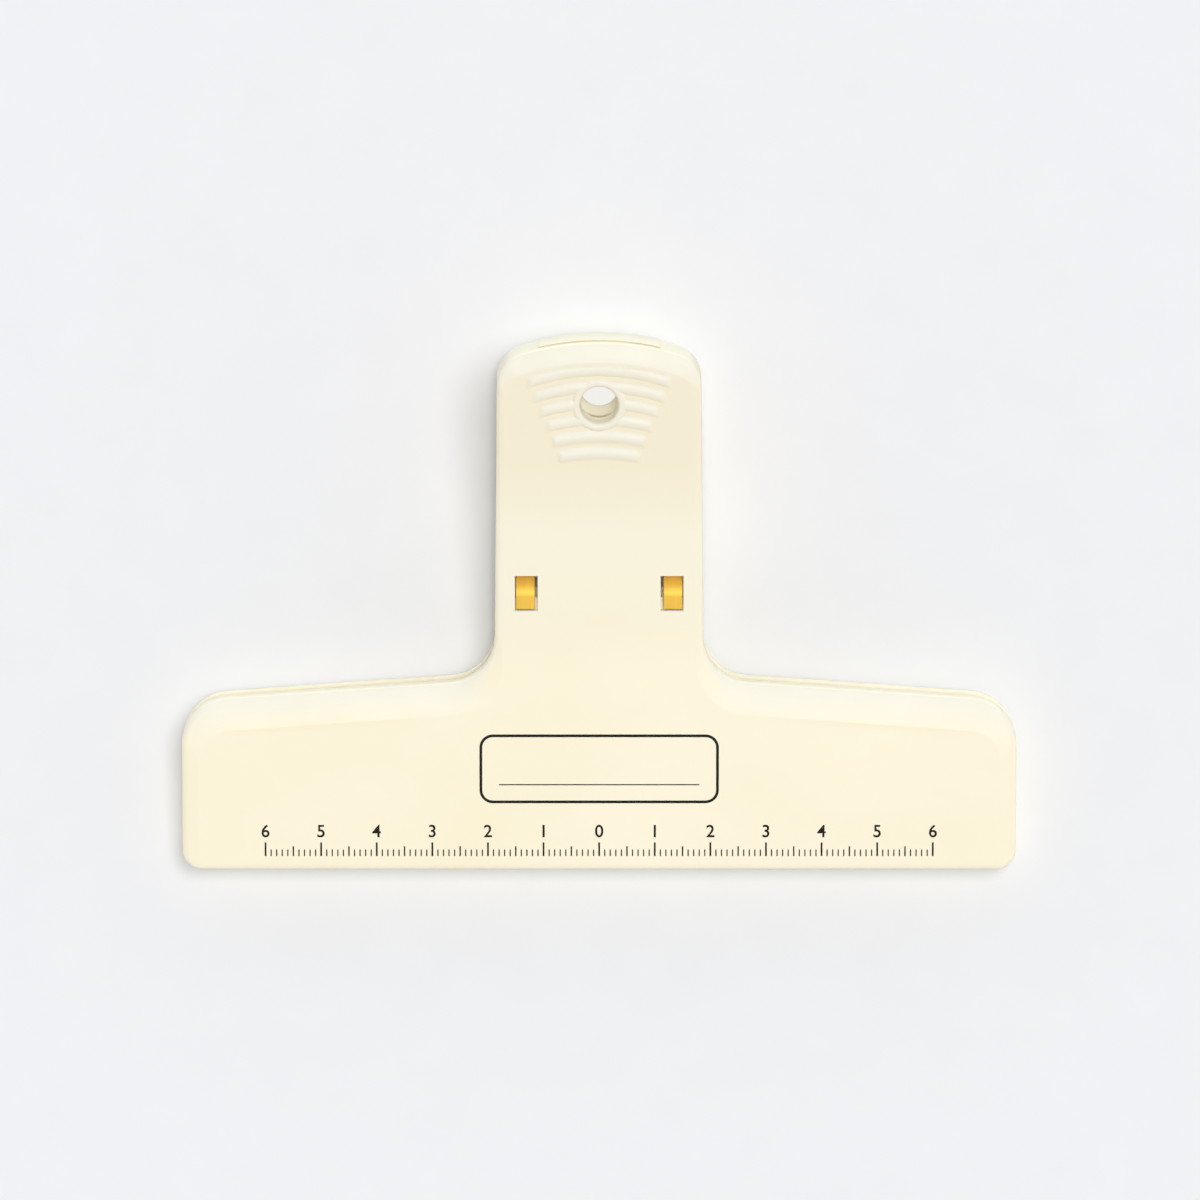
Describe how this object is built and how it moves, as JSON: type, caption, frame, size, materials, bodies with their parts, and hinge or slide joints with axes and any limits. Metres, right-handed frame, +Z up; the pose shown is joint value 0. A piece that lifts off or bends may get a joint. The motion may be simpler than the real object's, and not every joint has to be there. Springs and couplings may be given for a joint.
{
  "type": "paper clamp",
  "caption": "Wide sprung paper clamp: two moulded T-shaped plates rock on a pivot between them, and a flat spring closes the long jaw on a stack of sheets.",
  "frame": {"origin": "centre of the bounding box at its base: the surface that the clip lies on, under the middle of its outline", "axes": "+X along the jaw, +Y from the jaw edge to the handle, +Z up, out of the front plate as the clip lies on its back plate"},
  "size_m": [0.15, 0.0966, 0.0323],
  "materials": {
    "ivory_plastic": "smooth moulded plastic, soft gloss",
    "brass_plated_steel": "bright plated spring strip"
  },
  "bodies": {
    "back": {"back_plate": "ivory_plastic", "spring": "brass_plated_steel"},
    "front": {"front_plate": "ivory_plastic"}
  },
  "joints": [
    {"name": "jaw_hinge", "type": "hinge", "parent": "back", "child": "front", "pos_m": [0, 0.01185, 0.0123], "axis": [-1, 0, 0], "range_deg": [0, 22], "stiffness_Nm_per_rad": 1, "springref_deg": -22.92, "deforming": ["spring"]}
  ]
}
